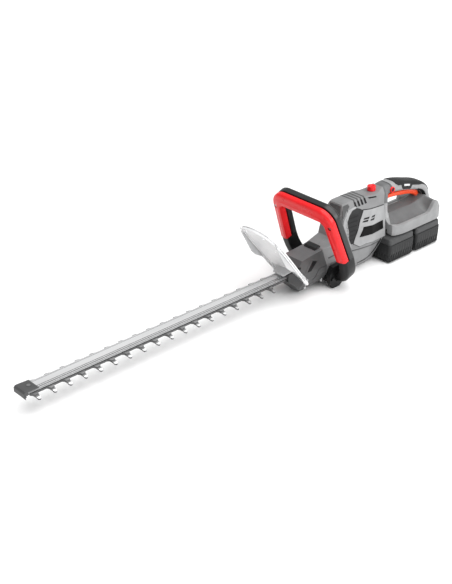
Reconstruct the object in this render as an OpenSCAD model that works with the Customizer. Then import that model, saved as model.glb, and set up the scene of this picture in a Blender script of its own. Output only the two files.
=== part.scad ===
// Cordless hedge trimmer with a turning rear handle and two slide-in batteries.
// Drawn from the cutting end: x runs from the blade tip to the rear, y to the right hand of the
// person who holds it, z up. place() moves the origin to the ground under the middle.

/* [Cutting bar] */
// Distance between two long teeth on one side
tooth_pitch = 31; // [28:0.5:34]
// Long teeth on each side
tooth_count = 18; // [17:1:18]
// Half distance across the tips of the long teeth
long_reach = 28.5; // [26:0.5:30]
// Half distance across the tips of the short teeth
short_reach = 20; // [18:0.5:21]
// How far the near row of teeth is shifted towards the tip
row_shift = 18; // [15:0.5:19]
// Half width of the guide bar
bar_half = 14; // [13:0.5:15]
// Thickness of each blade
blade_t = 2.3; // [2:0.1:2.4]
// Eccentric throw, half of one blade's stroke
throw = 7.75; // [6:0.25:7.75]

/* [Front handle] */
// Lean of the front handle towards the blade
handle_lean = 20.9; // [18:0.1:24]
// Width of the legs of the front handle
tube_w = 20.5; // [19:0.5:22]
// Height of the top bar of the front handle, in its own plane
top_w = 26.5; // [24:0.5:28]
// Travel of the front switch bar
bar_travel = 2.5; // [1.5:0.5:2.5]

/* [Rear handle] */
// Height of the rear handle's turning axis above the tooth tips
turn_z = 64; // [60:1:66]
// Half width of the rear grip
grip_half = 18; // [16:0.5:19]
// Half width of the battery bay
bay_half = 52; // [50:0.5:54]

/* [Batteries] */
// Width of one battery along the machine
pack_w = 76; // [74:1:77]
// Half length of one battery across the machine
pack_half = 55; // [53:0.5:56]

/* [Gears] */
// Teeth of the crown gear
gear_teeth = 40; // [40:1:40]
// Teeth of the motor pinion
pinion_teeth = 10; // [10:1:10]

/* [Hidden] */
$fn = 48;

eps = 0.01;
gap = 0.3;
front_x = -39;
rear_x = 967;
ground_z = -34;
mid_x = (front_x + rear_x) / 2;

// heights in the blade stack
lower_z = 2.0;
upper_z = lower_z + blade_t + gap;
bar_z = upper_z + blade_t + gap;
bar_top = 13;
bar_end = 576;
clamp_x = [564.5, 572];
screw_pitch = 3 * tooth_pitch;
screw_x = [for (i = [0 : 5]) 28 + i * screw_pitch];

// drive
crank_x = 606;
disc_r = 11;
yoke_half = disc_r + throw + 1;
gear_r = 24.5;
pinion_r = gear_r * pinion_teeth / gear_teeth;
mesh_z = 16.2;
motor_z = mesh_z + pinion_r;
shaft_r = 5;

// front handle plane, through the front face of the switch bar
handle_x = 634;
handle_z = 36;
tube_d = 14;
bar_d = 14;
bar_gap = 3;
loop_top = 119;
loop_half = 78.6;
loop_low = -60;
leg_half = 91.5;
foot_end = 40;
foot_half = 46;
foot_deep = 63.5;
foot_x0 = -bar_d - bar_gap - tube_d + 0.5;
foot_x1 = -3;
spring_places = [[-69, 74], [69, 74], [0, 105.5]];
screw_y = 70.5;
screw_v = 85;
lug_x = 648;
lug_z = -14;
clamp_bolt_x = 663;
clamp_bolt_y = 42.1;

// rear unit
seam_x = 822;
seam_gap = 0.4;
pack_x = [806, 888];
nose_x = 556;
pack_top = 22;
lid_z = 7;
sweep_r = turn_z - pack_top + 0.3;
trigger_x = 926;
trigger_z = 84;

black = "#1b1c1e";
dark = "#3b3d40";
mid = "#6b6e72";
light = "#a9acaf";
red = "#e3232a";
orange = "#f0562b";
steel = "#c9ccd0";

module place() translate([-mid_x, 0, -ground_z]) children();

module block(lo, hi) translate(lo) cube(hi - lo);

// an outline in x and z, drawn along y
module prism_y(outline, y0, y1)
    translate([0, y1, 0]) rotate([90, 0, 0]) linear_extrude(y1 - y0) polygon(outline);

// an outline in y and z, drawn along x
module prism_x(outline, x0, x1)
    translate([x0, 0, 0]) rotate([90, 0, 90]) linear_extrude(x1 - x0) polygon(outline);

// a plate outline in x and y, drawn upwards
module plate(outline, z0, z1)
    translate([0, 0, z0]) linear_extrude(z1 - z0) polygon(outline);

module rod_x(r, x0, x1, y, z) translate([x0, y, z]) rotate([0, 90, 0]) cylinder(r = r, h = x1 - x0);

module rod_y(r, y0, y1, x, z) translate([x, y1, z]) rotate([90, 0, 0]) cylinder(r = r, h = y1 - y0);

module rod_z(r, z0, z1, x, y) translate([x, y, z0]) cylinder(r = r, h = z1 - z0);

module both_sides() {
    children();
    mirror([0, 1, 0]) children();
}

function mirrored(half) = concat(half, [for (i = [len(half) - 1 : -1 : 0]) [-half[i][0], half[i][1]]]);

// ---------- cutting bar ----------

module guide_bar() color(steel) place() difference() {
    prism_x(mirrored([[bar_half, bar_z], [bar_half, 9.6], [12.9, 9.6], [12.9, 11.6], [11.2, 11.6],
        [11.2, 10.6], [9.8, 10.6], [9.8, 12.4], [8.2, 12.4], [8.2, 11.6], [6.6, 11.6],
        [6.6, bar_top]]), -31, bar_end);
    for (x = screw_x) rod_z(2.5, bar_z - 1, 12, x, 0);
    rod_z(2, bar_z - 1, 20, -20, 0);
    for (x = clamp_x) rod_z(2.5, bar_z - 1, 20, x, 0);
}

module tip_cap() color(dark) place() difference() {
    prism_y([[front_x, 4], [front_x + 3, 0], [-31, 0], [-31, bar_top], [-10, bar_top],
        [-10, 14], [-31, 15], [front_x + 3, 15], [front_x, 12]], -15, 15);
    rod_z(2, 0, 20, -20, 0);
    // room for the first teeth at the end of their stroke
    both_sides() block([-36, 9.3, -1], [-30, 20, bar_z]);
}

module blade_bushes() color("gray") place() for (x = screw_x) difference() {
    rod_z(4, 1.7, bar_z, x, 0);
    rod_z(2.5, 1, bar_z + 1, x, 0);
}

module blade_washers() color("silver") place() for (x = screw_x) difference() {
    rod_z(7.5, 0.7, 1.7, x, 0);
    rod_z(2.5, 0, 2, x, 0);
}

module blade_screws() color("silver") place() {
    for (x = screw_x) {
        rod_z(2.5, 0.7, 12, x, 0);
        translate([x, 0, -2.6]) cylinder(r = 4.4, h = 3.3, $fn = 6);
    }
    rod_z(2, 8, 15, -20, 0);
    rod_z(3.4, 14.65, 15.4, -20, 0);
}

// long rounded tooth with its end bent down
module long_tooth(x) translate([x, 0, 0]) intersection() {
    linear_extrude(20, center = true) {
        polygon([[-8, 10], [-4.2, 15], [-3.6, long_reach - 3.6], [3.6, long_reach - 3.6], [4.2, 15], [8, 10]]);
        translate([0, long_reach - 3.6]) circle(r = 3.6);
    }
    prism_x([[9, lower_z], [9, lower_z + blade_t], [long_reach - 4.5, lower_z + blade_t],
        [long_reach + 1, lower_z - 0.2], [long_reach + 1, lower_z - blade_t - 0.4],
        [long_reach - 5.5, lower_z]], -10, 10);
}

// short sharpened tooth
module short_tooth(x)
    plate([[x - 9, 10], [x - 5.5, short_reach - 5], [x - 3.4, short_reach], [x + 3.4, short_reach],
        [x + 5.5, short_reach - 5], [x + 9, 10]], upper_z, upper_z + blade_t);

// slotted strip that carries a row of teeth on each side and the yoke for the eccentric
module blade_strip(z) difference() {
    union() {
        block([-21.5, -11.5, z], [crank_x - 20, 11.5, z + blade_t]);
        plate([[560, -11.5], [crank_x - 20, -25], [crank_x + 20, -25], [crank_x + 20, 25],
            [crank_x - 20, 25], [560, 11.5]], z, z + blade_t);
    }
    for (x = screw_x) {
        block([x - throw, -4.3, z - 1], [x + throw, 4.3, z + 4]);
        for (s = [-1, 1]) rod_z(4.3, z - 1, z + 4, x + s * throw, 0);
    }
    block([crank_x - disc_r - 2.2, -yoke_half, z - 1], [crank_x + disc_r + 2.2, yoke_half, z + 4]);
}

module blade_rows() for (i = [0 : tooth_count - 1]) {
    translate([i * tooth_pitch, 0, 0]) children();
    translate([i * tooth_pitch - row_shift, 0, 0]) mirror([0, 1, 0]) children();
}

module upper_blade() color(steel) place() {
    blade_strip(upper_z);
    blade_rows() short_tooth(0);
}

module lower_blade() color(steel) place() {
    blade_strip(lower_z);
    blade_rows() long_tooth(0);
}

// ---------- hand guard ----------

guard_lean = 38;

// frame of the guard plate: its foot is at the gear case, its top leans to the blade tip
module guard_plane() translate([582, 0, 0]) rotate([0, -guard_lean, 0]) children();

module hand_guard() color("#dfe3e6", 0.5) place() difference() {
    union() {
        guard_plane() rotate([90, 0, 90]) translate([0, 0, -3]) linear_extrude(3) polygon([
            [-46, 30], [-48, 60], [-49, 110], [-47, 135], [-41, 150], [-28, 161], [0, 165], [28, 161],
            [41, 150], [47, 135], [49, 110], [48, 60], [46, 30], [42, -2], [37, -8], [36, 20],
            [30, 44], [-30, 44], [-36, 20], [-37, -8], [-42, -2]]);
        both_sides() prism_y([[487, 118], [491, 104], [518, 56], [528, 46], [545, 36], [570, 14],
            [574, 13], [540, 52], [490, 117]], 44.5, 47);
    }
    block([500, -60, -40], [620, 60, -6]);
    both_sides() {
        rod_y(2.1, 30, 60, 579, 6);
        rod_y(4, 41.4, 60, 579, 6);
    }
}

module guard_screws() color("silver") place() both_sides() {
    rod_y(2, 30.5, 41.5, 579, 6);
    rod_y(3.8, 41.5, 43.5, 579, 6);
}

// ---------- gear case ----------

module gearcase_solid(inset) intersection() {
    prism_y([[nose_x + inset, 3], [nose_x + inset, 17 - inset * 0.4], [585 + inset * 0.4, 38 - inset],
        [634, 42 - inset], [642, 43 - inset], [642, -20 + inset], [615 - inset, -20 + inset],
        [606 - inset, ground_z + inset], [591 + inset * 0.4, ground_z + inset]], -40, 40);
    prism_x(mirrored([[11 - inset * 0.4, ground_z + inset], [30 - inset, -14], [35 - inset, 2],
        [35 - inset, 16], [22 - inset, 40], [22 - inset, 50]]), 540, 650);
    plate([[nose_x, -18 + inset], [582, -36 + inset], [650, -36 + inset], [650, 36 - inset],
        [582, 36 - inset], [nose_x, 18 - inset]], -60, 60);
}

// room for the blades and their yokes
module blade_tunnel() {
    block([540, -14.4, lower_z - 4.8], [586, 14.4, bar_z - eps]);
    plate([[nose_x - 1, -14.4], [576, -26.5], [636, -26.5], [636, 26.5], [576, 26.5],
        [nose_x - 1, 14.4]], lower_z - 1.2, bar_z + 0.4);
}

split_z = bar_z;

module gearcase_upper() color(dark) place() difference() {
    union() {
        difference() {
            gearcase_solid(0);
            gearcase_solid(3);
        }
        intersection() {
            gearcase_solid(0.5);
            union() {
                block([nose_x, -17, split_z], [577, 17, 26]);
                rod_z(15, 26, 44, crank_x, 0);
                both_sides() rod_z(4, split_z, 24, 589, 29);
                both_sides() rod_z(4, split_z, 24, 634, 29);
            }
        }
        // raised rib on top
        prism_y([[631, 40], [638, 46], [641.7, 46], [641.7, 40]], -13.5, 13.5);
    }
    block([500, -60, -60], [700, 60, split_z]);
    block([500, -bar_half, split_z - 1], [bar_end, bar_half, bar_top]);
    rod_z(28.6, split_z - 1, 18, crank_x, 0);
    rod_z(8, 20, 34, crank_x, 0);
    rod_z(6.5, 10, 34, crank_x, 0);
    rod_x(9, 620, 660, 0, motor_z);
    for (x = clamp_x) {
        rod_z(2.5, 0, 24, x, 0);
        rod_z(4, 16, 60, x, 0);
    }
    both_sides() for (x = [589, 634]) rod_z(2, split_z - 1, 20, x, 29);
    both_sides() rod_y(2, 30, 50, 579, 6);
    blade_tunnel();
}

module gearcase_lower() color(dark) place() difference() {
    union() {
        difference() {
            gearcase_solid(0);
            gearcase_solid(3);
        }
        intersection() {
            gearcase_solid(0.5);
            union() {
                rod_z(14, -22, -3, crank_x - 8, 0);
                rod_z(14, -22, -3, crank_x, 0);
                block([nose_x, -17, -4], [577, 17, 3]);
                both_sides() rod_z(4, -14, split_z, 589, 29);
                both_sides() rod_z(4, -14, split_z, 634, 29);
                both_sides() block([573, 30, 1], [585, 34.5, 11]);
            }
        }
    }
    block([500, -60, split_z], [700, 60, 60]);
    rod_z(8, -16, 0, crank_x, 0);
    blade_tunnel();
    both_sides() for (x = [589, 634]) {
        rod_z(2, -20, 20, x, 29);
        rod_z(3.4, -40, -13.9, x, 29);
    }
    both_sides() rod_y(2, 28, 50, 579, 6);
}

module gearcase_screws() color("silver") place() {
    both_sides() for (x = [589, 634]) {
        rod_z(2, -14, 18, x, 29);
        rod_z(3.2, -18, -14, x, 29);
    }
    for (x = clamp_x) {
        rod_z(2.5, bar_z, 16, x, 0);
        rod_z(3.8, 16, 19.5, x, 0);
    }
}

module crank_bearings() color("gray") place() {
    difference() {
        rod_z(8, -15, -7, crank_x, 0);
        rod_z(shaft_r + 0.05, -20, 0, crank_x, 0);
    }
    difference() {
        rod_z(8, 23, 30, crank_x, 0);
        rod_z(shaft_r + 0.05, 10, 40, crank_x, 0);
    }
}

// ---------- drive ----------

module drive_gear() color("darkgray") place() {
    rod_z(shaft_r, -14.5, 29.5, crank_x, 0);
    rod_z(disc_r, lower_z, lower_z + blade_t, crank_x, -throw);
    rod_z(disc_r, upper_z, upper_z + blade_t, crank_x, throw);
    rod_z(12, 8, 21, crank_x, 0);
    rod_z(27.5, 9, mesh_z - 0.9, crank_x, 0);
    for (i = [0 : gear_teeth - 1]) translate([crank_x, 0, 0]) rotate([0, 0, (i + 0.5) * 360 / gear_teeth])
        prism_x([[-0.75, mesh_z - 1.1], [-0.45, mesh_z + 0.6], [0.45, mesh_z + 0.6],
            [0.75, mesh_z - 1.1]], 21.5, 27.4);
}

module pinion() color("darkgray") place() difference() {
    union() {
        rod_x(pinion_r - 1, 626.5, 634.5, 0, motor_z);
        for (i = [0 : pinion_teeth - 1]) translate([0, 0, motor_z])
            rotate([i * 360 / pinion_teeth, 0, 0]) prism_x([[-1, -pinion_r + 1.2], [-0.5, -pinion_r - 0.6],
                [0.5, -pinion_r - 0.6], [1, -pinion_r + 1.2]], 626.5, 634.5);
    }
    rod_x(2.5, 620, 640, 0, motor_z);
}

can_x0 = 706;
can_x1 = 768;

module rotor() color("peru") place() {
    rod_x(2.5, 625, 786, 0, motor_z);
    rod_x(13, can_x0 + 12, can_x1 - 14, 0, motor_z);
    for (i = [0 : 5]) translate([0, 0, motor_z]) rotate([i * 60, 0, 0])
        block([can_x0 + 10, 3.5, -2.5], [can_x1 - 12, 13.5, 2.5]);
}

module fan() color(black) place() translate([0, 0, motor_z]) difference() {
    union() {
        rod_x(6, 774, 782, 0, 0);
        rod_x(20, 774, 775.6, 0, 0);
        for (i = [0 : 8]) rotate([i * 40, 0, 0]) block([775, 5, -0.8], [782, 20, 0.8]);
    }
    rod_x(2.5, 770, 790, 0, 0);
}

module motor_can() color("gray") place() translate([0, 0, motor_z]) difference() {
    rod_x(22, can_x0, can_x1, 0, 0);
    rod_x(14.5, can_x0 + 3, can_x1 - 3, 0, 0);
    rod_x(7, can_x0 - 1, can_x1 + 1, 0, 0);
}

module motor_bearings() color("silver") place() for (x = [can_x0, can_x1 - 3]) difference() {
    rod_x(7, x, x + 3, 0, motor_z);
    rod_x(2.55, x - 1, x + 4, 0, motor_z);
}

// ---------- motor housing ----------

// half sections of the housing, from the bottom up
function front_section(i) = mirrored([[17 - i, -26 + i], [31 - i, -8], [35 - i, 2], [35 - i, 16],
    [22 - i, 42], [20 - i, 62], [17 - i, 98], [14 - i, 119 - i]]);
function middle_section(i) = mirrored([[17 - i, -32 + i], [33 - i, -8], [40 - i, 22], [39 - i, 62],
    [30 - i, 96], [17 - i, 117 - i]]);
function rear_section(i) = mirrored([[14 - i, -12 + i], [25 - i, 4], [29 - i, 18], [24 - i, 60],
    [20 - i, 84], [19 - i, 108], [13 - i, 120 - i]]);

module housing_side(i) prism_y([[642 + i, -22 + i], [642 + i, 44 - i], [684 + i, 49 - i],
    [699 + i * 0.6, 117 - i], [704, 119 - i], [762, 118 - i], [788, 113 - i], [806, 113 - i],
    [seam_x - seam_gap - i, 119 - i], [seam_x - seam_gap - i, 20 + i], [805 - i, 18 + i], [802 - i, 4 + i],
    [785, -21 + i],
    [770 - i * 0.5, -32 + i], [690, -32 + i]], -45, 45);

// the end lies within the circle that the packs sweep when the rear handle turns
module rear_reach(i) {
    block([600, -80, -80], [pack_x[0] - 0.8, 80, 150]);
    rod_x(sweep_r - i, 800, 830, 0, turn_z);
    block([800, -60, turn_z], [830, 60, 150]);
}

module housing_solid(i) intersection() {
    housing_side(i);
    rear_reach(i);
    hull() {
        prism_x(front_section(i), 640, 641);
        prism_x(middle_section(i), 735, 765);
        prism_x(rear_section(i), seam_x - 1, seam_x);
    }
}

module top_slots() for (x = [731, 740, 749, 758])
    block([x, -20, 104], [x + 4, 20, 130]);

module intake_window(y0, y1)
    prism_y([[731, 100], [744, 95], [736, 62], [727, 30], [718, 34], [707, 64], [716, 84]], y0, y1);

module housing_half() difference() {
    union() {
        difference() {
            housing_solid(0);
            housing_solid(3);
        }
        intersection() {
            housing_solid(0.5);
            union() {
                for (x = [can_x0 + 4, can_x1 - 8]) block([x, -45, motor_z - 30], [x + 4, 45, motor_z + 30]);
                rod_y(5, -42, 42, 694, -18);
                rod_y(5, -42, 42, 782, 70);
                rod_y(5, -42, 42, 710, 104);
                block([806, -30, turn_z - 24], [819, 30, turn_z + 24]);
                block([696, -34, 58], [802, 34, 61]);
            }
        }
    }
    block([600, -60, -60], [900, 0.0, 160]);
    rod_x(22, can_x0 - 1, can_x1 + 1, 0, motor_z);
    rod_x(21.5, can_x1, 790, 0, motor_z);
    rod_x(19.5, 812.4, 817.1, 0, turn_z);
    rod_x(14, 800, 830, 0, turn_z);
    rod_x(19, 800, 812.5, 0, turn_z);
    rod_x(9, 640, 700, 0, motor_z);
    rod_y(2, -60, 60, 694, -18);
    rod_y(2, -60, 60, 782, 70);
    rod_y(2, -60, 60, 710, 104);
    top_slots();
    block([786, -4.2, 100], [812, 4.2, 140]);
    block([784, -10.5, 112], [813, 10.5, 140]);
    rod_x(4.4, 796, 830, 0, 104);
    block([796, -5, 96], [819, 5, 113]);
    both_sides() intake_window(24, 60);
    rod_y(2.5, 15, 60, lug_x, lug_z);
}

module housing_left() color(dark) place() mirror([0, 1, 0]) housing_half();

module housing_right() color(dark) place() housing_half();

module housing_screws() color("silver") place() for (p = [[694, -18], [782, 70], [710, 104]])
    rod_y(2, -24, 22, p[0], p[1]);

// light side panel that lies on the housing, outside
module side_panel() difference() {
    intersection() {
        prism_y([[746, 96], [812, 82], [813, 20], [742, 20], [716, 14], [712, 26], [730, 28], [739, 62]],
            10, 60);
        hull() {
            prism_x(middle_section(-2.2), 735, 765);
            prism_x(rear_section(-2.2), seam_x - 1, seam_x);
            prism_x(front_section(-2.2), 640, 641);
        }
        rear_reach(0);
    }
    housing_solid(0);
    for (k = [0, 1]) {
        prism_y([[752 + k * 14, 78], [762 + k * 14, 76], [762 + k * 14, 72.5], [752 + k * 14, 74.5]], 10, 60);
        prism_y([[750 + k * 14, 70], [761 + k * 14, 68], [761 + k * 14, 64.5], [750 + k * 14, 66.5]], 10, 60);
    }
    prism_y([[741, 56], [792, 55], [790, 38], [737, 38]], 10, 60);
}

module side_panel_left() color(light) place() mirror([0, 1, 0]) side_panel();

module side_panel_right() color(light) place() side_panel();

// blank plates set into the side panels
module badge_plates() color(black) place() both_sides() difference() {
    intersection() {
        prism_y([[741, 56], [792, 55], [790, 38], [737, 38]], 10, 60);
        hull() {
            prism_x(middle_section(-1.8), 735, 765);
            prism_x(rear_section(-1.8), seam_x - 1, seam_x);
            prism_x(front_section(-1.8), 640, 641);
        }
    }
    housing_solid(0);
}

module intake_panels() color(black) place() both_sides() difference() {
    intersection() {
        intake_window(24.2, 60);
        hull() {
            prism_x(front_section(0.8), 640, 641);
            prism_x(middle_section(0.8), 735, 765);
            prism_x(rear_section(0.8), seam_x - 1, seam_x);
        }
    }
    housing_solid(3);
    for (z = [38 : 8 : 92]) block([700, 20, z], [750, 60, z + 3]);
}

module control_board() color("green") place() {
    block([700, -24, 61], [796, 24, 62.8]);
    for (x = [708, 722, 736]) block([x, -16, 62.8], [x + 9, -6, 78]);
    rod_z(6, 62.8, 84, 764, 8);
}

module front_switch() color(black) place() {
    block([650, -6, -16], [672, 6, -2]);
    block([652, -3, -2], [658, 3, 0]);
}

// ---------- front handle ----------

// frame of the front handle: x forwards out of its face, y across, z up along it
module handle_plane() translate([handle_x, 0, handle_z]) rotate([0, -handle_lean, 0])
    mirror([1, 0, 0]) children();

// the loop as an outline of y and z in the handle's plane; grow moves both edges outwards
module loop_outline(bottom, corner_r, top_z, top_half, low_half) {
    hull() {
        for (s = [-1, 1]) translate([s * (top_half - corner_r), top_z - corner_r]) circle(r = corner_r);
        for (s = [-1, 1]) translate([s * (low_half - 2), bottom]) circle(r = 2);
    }
}

module loop(x0, x1, bottom) translate([x0, 0, 0]) rotate([90, 0, 90]) linear_extrude(x1 - x0) difference() {
    intersection() {
        loop_outline(loop_low, 32, loop_top, loop_half, leg_half);
        translate([-100, bottom]) square([200, 200]);
    }
    loop_outline(loop_low - 10, 12, loop_top - top_w, loop_half - tube_w, leg_half - tube_w);
}

// a leg's lower end as a quarter of a full, rounded curve from the leg down to the arm
function foot_curve(half, deep, steps) = [for (i = [0 : steps]) let (t = 90 * i / steps)
    [foot_end + half * pow(cos(t), 0.77), -deep * pow(sin(t), 0.77)]];

function backwards(path) = [for (i = [len(path) - 1 : -1 : 0]) path[i]];

// lower end of a leg, turned in towards the housing
module leg_foot(x0, x1) prism_x(concat(foot_curve(foot_half, foot_deep, 14),
    backwards(foot_curve(foot_half - tube_w, foot_deep - tube_w, 10))), x0, x1);

module handle_shell() color(black) place() difference() {
    handle_plane() {
        difference() {
            union() {
                loop(-bar_d - bar_gap - tube_d, -bar_d - bar_gap, -1);
                both_sides() leg_foot(foot_x0, foot_x1);
            }
            // hollow for the switch bar's springs
            for (p = spring_places) rod_x(4.2, -bar_d - bar_gap - 8, -bar_d + 5, p[0], p[1]);
        }
    }
    both_sides() rod_z(2, -40, -10, clamp_bolt_x, clamp_bolt_y);
}

module handle_brackets() color(black) place() both_sides() difference() {
    union() {
        prism_y([[650, ground_z], [668, ground_z], [690, -18], [692, -2], [672, 14], [648, 12],
            [640, -4], [642, -22]], 37.2, 47);
        prism_y([[643, -20], [686, -18], [686, -4], [668, 8], [646, 6]], 25, 37.3);
    }
    handle_plane() leg_foot(foot_x0 - 0.1, foot_x1 + 0.1);
    housing_solid(0);
    rod_y(2.5, 15, 60, lug_x, lug_z);
    rod_z(2, -40, -10, clamp_bolt_x, clamp_bolt_y);
    rod_z(3.6, -40, -29.5, clamp_bolt_x, clamp_bolt_y);
}

module handle_bolts() color("silver") place() both_sides() {
    rod_y(2.5, 21, 47, lug_x, lug_z);
    rod_y(4.2, 47, 49.5, lug_x, lug_z);
    rod_z(2, -29.5, -10, clamp_bolt_x, clamp_bolt_y);
    rod_z(3.3, -33, -29.5, clamp_bolt_x, clamp_bolt_y);
}

module switch_bar() color(red) place() handle_plane() difference() {
    union() {
        loop(-bar_d, 0, 1);
        for (p = spring_places) rod_x(3.4, -bar_d - bar_gap - 3, -bar_d + 1, p[0], p[1]);
    }
    both_sides() rod_x(4, -5, 1, screw_y, screw_v);
    both_sides() rod_x(2, -12, 1, screw_y, screw_v);
}

module switch_bar_screws() color("silver") place() handle_plane() both_sides() {
    rod_x(2, -12, -5, screw_y, screw_v);
    rod_x(3.6, -5, -2.5, screw_y, screw_v);
}

module switch_bar_springs() color("silver") place() handle_plane() {
    for (p = spring_places) difference() {
        rod_x(4.2, -bar_d - bar_gap - 8, -bar_d - bar_gap - 6.2, p[0], p[1]);
        rod_x(2.6, -bar_d - bar_gap - 9, -bar_d - bar_gap - 5, p[0], p[1]);
    }
}

// ---------- turning joint ----------

module turn_ring() color("silver") place() difference() {
    rod_x(19.5, 812.5, 817.1, 0, turn_z);
    rod_x(13.05, 811, 818, 0, turn_z);
}

module turn_hub() color("gray") place() difference() {
    union() {
        rod_x(13, 806, 828, 0, turn_z);
        rod_x(17, 806, 811.5, 0, turn_z);
        rod_x(17, seam_x + seam_gap + 3, 828, 0, turn_z);
    }
    rod_x(8, 800, 830, 0, turn_z);
}

module rotation_lock() color(red) place() {
    difference() {
        union() {
            rod_z(8.5, 114, 123, 802, 0);
            block([797, -7, 114], [806, 7, 122]);
        }
        translate([802, 0, 129]) sphere(r = 8);
    }
    block([799, -3.8, 104], [806, 3.8, 114.5]);
    rod_x(3.6, 799, 821, 0, 104);
}

module lock_spring() color("silver") place() difference() {
    rod_x(3.6, 786, 791.6, 0, 104);
    rod_x(2.6, 785, 793, 0, 104);
}

// ---------- rear handle ----------

grip_top = [[822.4, 119], [840, 120], [866, 117.5], [890, 112], [914, 104.5], [936, 95], [954, 83],
    [963, 70]];
grip_low = [[932, 66], [920, 79], [898, 89], [870, 94], [846, 97], [839, 92]];

// side outline of the whole rear handle, with its hand opening left out
module rear_outline(i) difference() {
    offset(delta = -i) polygon(concat(grip_top, [[964, 45], [rear_x - 1, pack_top], [822.4, pack_top]]));
    offset(delta = i) polygon(concat(grip_low, [[838, 84], [838, 60], [842, 57.5], [905, 56.5], [926, 62]]));
}

module rear_extrude(i, half) rotate([90, 0, 0]) translate([0, 0, -half]) linear_extrude(2 * half)
    rear_outline(i);

// the base flares out over the batteries
module bay_solid(i) intersection() {
    prism_y([[822.4 + i, pack_top - 1 - i], [822.4 + i, 54 - i], [836, 46 - i], [922, 43 - i], [934, 66 - i],
        [950, 66 - i], [962 - i, 42], [rear_x - 1 - i, pack_top - 1 - i]], -bay_half - 1, bay_half + 1);
    prism_x(mirrored([[bay_half - i, 10], [bay_half - i, 42], [bay_half - 4 - i, 56],
        [bay_half - 14 - i, 70]]), 820, rear_x);
}

// out is how far the packs' openings reach through this half
module rear_half(out) difference() {
    union() {
        difference() {
            rear_extrude(0, grip_half);
            rear_extrude(2.6, grip_half - 2.6);
        }
        difference() {
            bay_solid(0);
            bay_solid(2.6);
        }
        block([822.4, -30, turn_z - 26], [829.4, 30, turn_z + 22]);
        rod_y(4, 1 - grip_half, grip_half - 1, 833, 109);
        rod_y(4, 1 - grip_half, grip_half - 1, 946, 60);
        rod_y(4.5, 1 - grip_half, grip_half - 1, trigger_x, trigger_z);
        block([884, 7, 101], [900, grip_half - 1, 105]);
    }
    block([800, -60, -60], [1000, 0, 200]);
    rod_x(13.3, 820, 840, 0, turn_z);
    rod_x(17, seam_x + seam_gap + 3, 828, 0, turn_z);
    rod_x(8, 820, 860, 0, turn_z);
    rod_y(2, -60, 60, 833, 109);
    rod_y(2, -60, 60, 946, 60);
    rod_y(2.05, -10, 10, trigger_x, trigger_z);
    // trigger well and lock-off button hole
    prism_y([[838.5, 80], [838.5, 106], [880, 103], [918, 88], [934, 76], [925, 68], [880, 78]], -8.6, 8.6);
    rod_y(9, -8.6, 8.6, trigger_x, trigger_z);
    rod_y(6.4, -60, 60, 849, 107);
    // openings for the rails and terminals
    for (x = pack_x) block([x + 12, -60, pack_top - 2], [x + pack_w - 12, out, pack_top + 9]);
    // seat of the saddle
    block([836.5, -44, 40], [932, 44, 60]);
}

module rear_shell_left() color(light) place() mirror([0, 1, 0]) rear_half(46);

module rear_shell_right() color(light) place() rear_half(60);

module rear_shell_screws() color("silver") place()
    for (p = [[833, 109], [946, 60]]) rod_y(2, -16, 14, p[0], p[1]);

// dark tray between the grip and the batteries
module saddle() color(dark) place() difference() {
    union() {
        prism_y([[838, 40], [838, 45], [852, 45], [914, 42], [931, 46], [931, 40]], -43.7, 43.7);
        prism_x(mirrored([[40, 41], [18, 57]]), 838, 914);
    }
    prism_y([[841, 38], [841, 42.5], [912, 39.8], [928, 43], [928, 38]], -41, 41);
    prism_x(mirrored([[35, 38], [16.5, 54]]), 841, 911);
}

module grip_overmould() color(black) place() difference() {
    intersection() {
        rotate([90, 0, 0]) translate([0, 0, -grip_half - 1.2]) linear_extrude(2 * grip_half + 2.4)
            intersection() {
                offset(delta = 1.2) polygon(concat(grip_top, [[940, 60], [822.4, 60]]));
                polygon([[846, 130], [846, 112], [870, 109], [893, 103], [900, 97], [912, 93.5], [918, 96],
                    [938, 86], [951, 73], [957, 62], [975, 62], [966, 100]]);
            }
    }
    rear_extrude(0, grip_half);
    block([800, -12, 60], [1000, 12, 105]);
    translate([0, -50, 0]) prism_y(grip_low, 0, 100);
    both_sides() block([890, grip_half - 1, 96], [912, grip_half + 5, 101]);
    rod_y(6.8, -40, 40, 849, 107);
}

module grip_badge() color(light) place() both_sides()
    prism_y([[893, 98.4], [896, 97], [908, 97], [911, 100.4], [892, 100.4]], grip_half, grip_half + 1);

module rear_switch() color(black) place() block([884, -7, 101], [900, 7, 105]);

module switch_spring() color("silver") place() difference() {
    rod_z(2.6, 94.6, 101, 889, 0);
    rod_z(1.8, 94, 102, 889, 0);
}

module trigger() color(orange) place() difference() {
    prism_y([[839.5, 83], [839.5, 92.5], [856, 92.5], [874, 91.5], [900, 87.5], [916, 86], [922, 90.5],
        [929, 90.5], [933, 84], [929, 77], [920, 73], [900, 79], [872, 83], [846, 84]], -8, 8);
    rod_y(2.05, -20, 20, trigger_x, trigger_z);
}

module trigger_pin() color("silver") place() rod_y(2, -10, 10, trigger_x, trigger_z);

module lock_off_button() color(red) place() rod_y(6, -19.6, 19.6, 849, 107);

// one rail with the lip that the tongue of a battery slides on
module rail() {
    block([19.6, -44, pack_top - 1], [21.2, 44, pack_top + 9]);
    block([15.5, -44, pack_top + 1.5], [19.7, 44, pack_top + 4.5]);
}

module battery_rails() color(black) place() for (x = pack_x) translate([x + pack_w / 2, 0, 0]) {
    rail();
    mirror([1, 0, 0]) rail();
}

module terminal_blocks() color("goldenrod") place() for (x = pack_x)
    translate([x + pack_w / 2, 0, 0]) {
        block([-14, 2.6 - bay_half, pack_top + 1], [14, -46, pack_top + 12]);
        for (k = [-1, 0, 1]) block([k * 8 - 0.5, -46, pack_top + 3], [k * 8 + 0.5, -41, pack_top + 7]);
    }

// ---------- batteries ----------

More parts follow.
